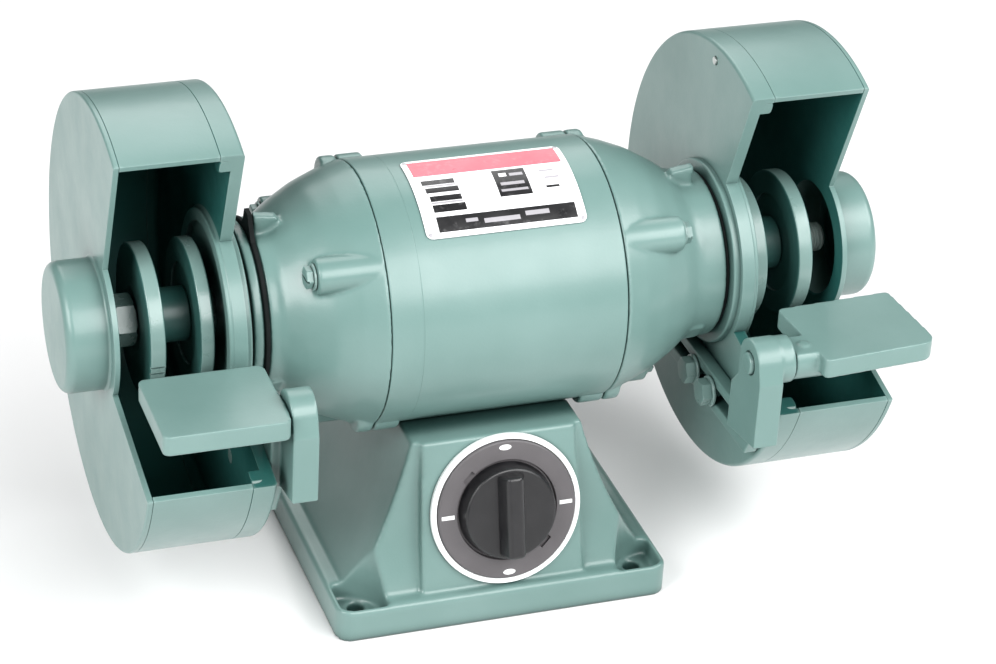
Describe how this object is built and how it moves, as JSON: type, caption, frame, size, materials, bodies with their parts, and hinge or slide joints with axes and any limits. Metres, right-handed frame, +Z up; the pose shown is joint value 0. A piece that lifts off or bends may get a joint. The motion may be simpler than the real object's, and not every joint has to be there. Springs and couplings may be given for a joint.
{
  "type": "bench grinder",
  "caption": "Bench grinder: round motor on a flared base, spindle ends with wheel flanges in open guards, sliding tool rests, rotary switch.",
  "frame": {"origin": "underside of the base, below the middle of the spindle", "axes": "+X along the spindle to the operator's right, +Y away from the operator, +Z up"},
  "size_m": [0.45, 0.2515, 0.283],
  "materials": {
    "green_enamel": "gloss enamel over cast iron",
    "bright_steel": "turned",
    "zinc_steel": "zinc plated",
    "lamination_steel": "stacked laminations",
    "copper_winding": "varnished copper wire",
    "black_plastic": "moulded",
    "grey_plastic": "moulded",
    "white_plastic": "moulded",
    "black_rubber": "pressed gasket",
    "printed_label": "printed sheet"
  },
  "bodies": {
    "frame": {"base_casting": "green_enamel", "base_cover_plate": "zinc_steel", "cable_gland": "black_plastic", "capacitor": "zinc_steel", "switch_bezel": "white_plastic", "switch_plate": "grey_plastic", "switch_body": "black_plastic", "motor_barrel": "green_enamel", "nameplate": "printed_label", "stator_core": "lamination_steel", "stator_winding": "copper_winding", "end_bell_left": "green_enamel", "guard_dish_left": "green_enamel", "guard_band_left": "green_enamel", "guard_cover_left": "green_enamel", "guard_gasket_left": "black_rubber", "bearing_outer_ring_left": "bright_steel", "bell_screw_front_left": "green_enamel", "bell_screw_rear_left": "green_enamel", "bell_screw_bottom_left": "green_enamel", "guard_screw_upper_left": "zinc_steel", "guard_screw_lower_left": "zinc_steel", "rest_bolt_front_left": "green_enamel", "rest_bolt_rear_left": "green_enamel", "end_bell_right": "green_enamel", "guard_dish_right": "green_enamel", "guard_band_right": "green_enamel", "guard_cover_right": "green_enamel", "guard_gasket_right": "black_rubber", "bearing_outer_ring_right": "bright_steel", "bell_screw_front_right": "green_enamel", "bell_screw_rear_right": "green_enamel", "bell_screw_bottom_right": "green_enamel", "guard_screw_upper_right": "zinc_steel", "guard_screw_lower_right": "zinc_steel", "rest_bolt_front_right": "green_enamel", "rest_bolt_rear_right": "green_enamel", "neck_seal_left": "black_rubber"},
    "rotor": {"spindle": "bright_steel", "rotor_core": "lamination_steel", "bearing_inner_ring_left": "bright_steel", "bearing_balls_left": "bright_steel", "flange_inner_left": "green_enamel", "flange_outer_left": "green_enamel", "wheel_spacer_left": "green_enamel", "spindle_nut_left": "green_enamel", "bearing_inner_ring_right": "bright_steel", "bearing_balls_right": "bright_steel", "flange_inner_right": "green_enamel", "flange_outer_right": "green_enamel", "wheel_spacer_right": "green_enamel", "spindle_nut_right": "green_enamel"},
    "switch": {"switch_knob": "black_plastic"},
    "rest_bracket_left": {"rest_bracket_left": "green_enamel", "rest_clamp_screw_left": "zinc_steel"},
    "rest_table_left": {"rest_table_left": "green_enamel"},
    "rest_bracket_right": {"rest_bracket_right": "green_enamel", "rest_clamp_screw_right": "zinc_steel"},
    "rest_table_right": {"rest_table_right": "green_enamel"}
  },
  "joints": [
    {"name": "spindle_spin", "type": "hinge", "parent": "frame", "child": "rotor", "pos_m": [0, 0, 0.163], "axis": [1, 0, 0], "continuous": true},
    {"name": "switch_turn", "type": "hinge", "parent": "frame", "child": "switch", "pos_m": [0.002, -0.07035, 0.0608], "axis": [0, -0.9685, 0.2492], "range_deg": [-90, 0]},
    {"name": "rest_slide_left", "type": "slide", "parent": "frame", "child": "rest_bracket_left", "axis": [0, -1, 0], "range_m": [-0.007, 0.041]},
    {"name": "rest_tilt_left", "type": "hinge", "parent": "rest_bracket_left", "child": "rest_table_left", "pos_m": [0, -0.1035, 0.1585], "axis": [1, 0, 0], "range_deg": [-12, 40]},
    {"name": "rest_slide_right", "type": "slide", "parent": "frame", "child": "rest_bracket_right", "axis": [0, -1, 0], "range_m": [-0.0195, 0.032]},
    {"name": "rest_tilt_right", "type": "hinge", "parent": "rest_bracket_right", "child": "rest_table_right", "pos_m": [0, -0.1125, 0.1585], "axis": [1, 0, 0], "range_deg": [-12, 40]}
  ]
}
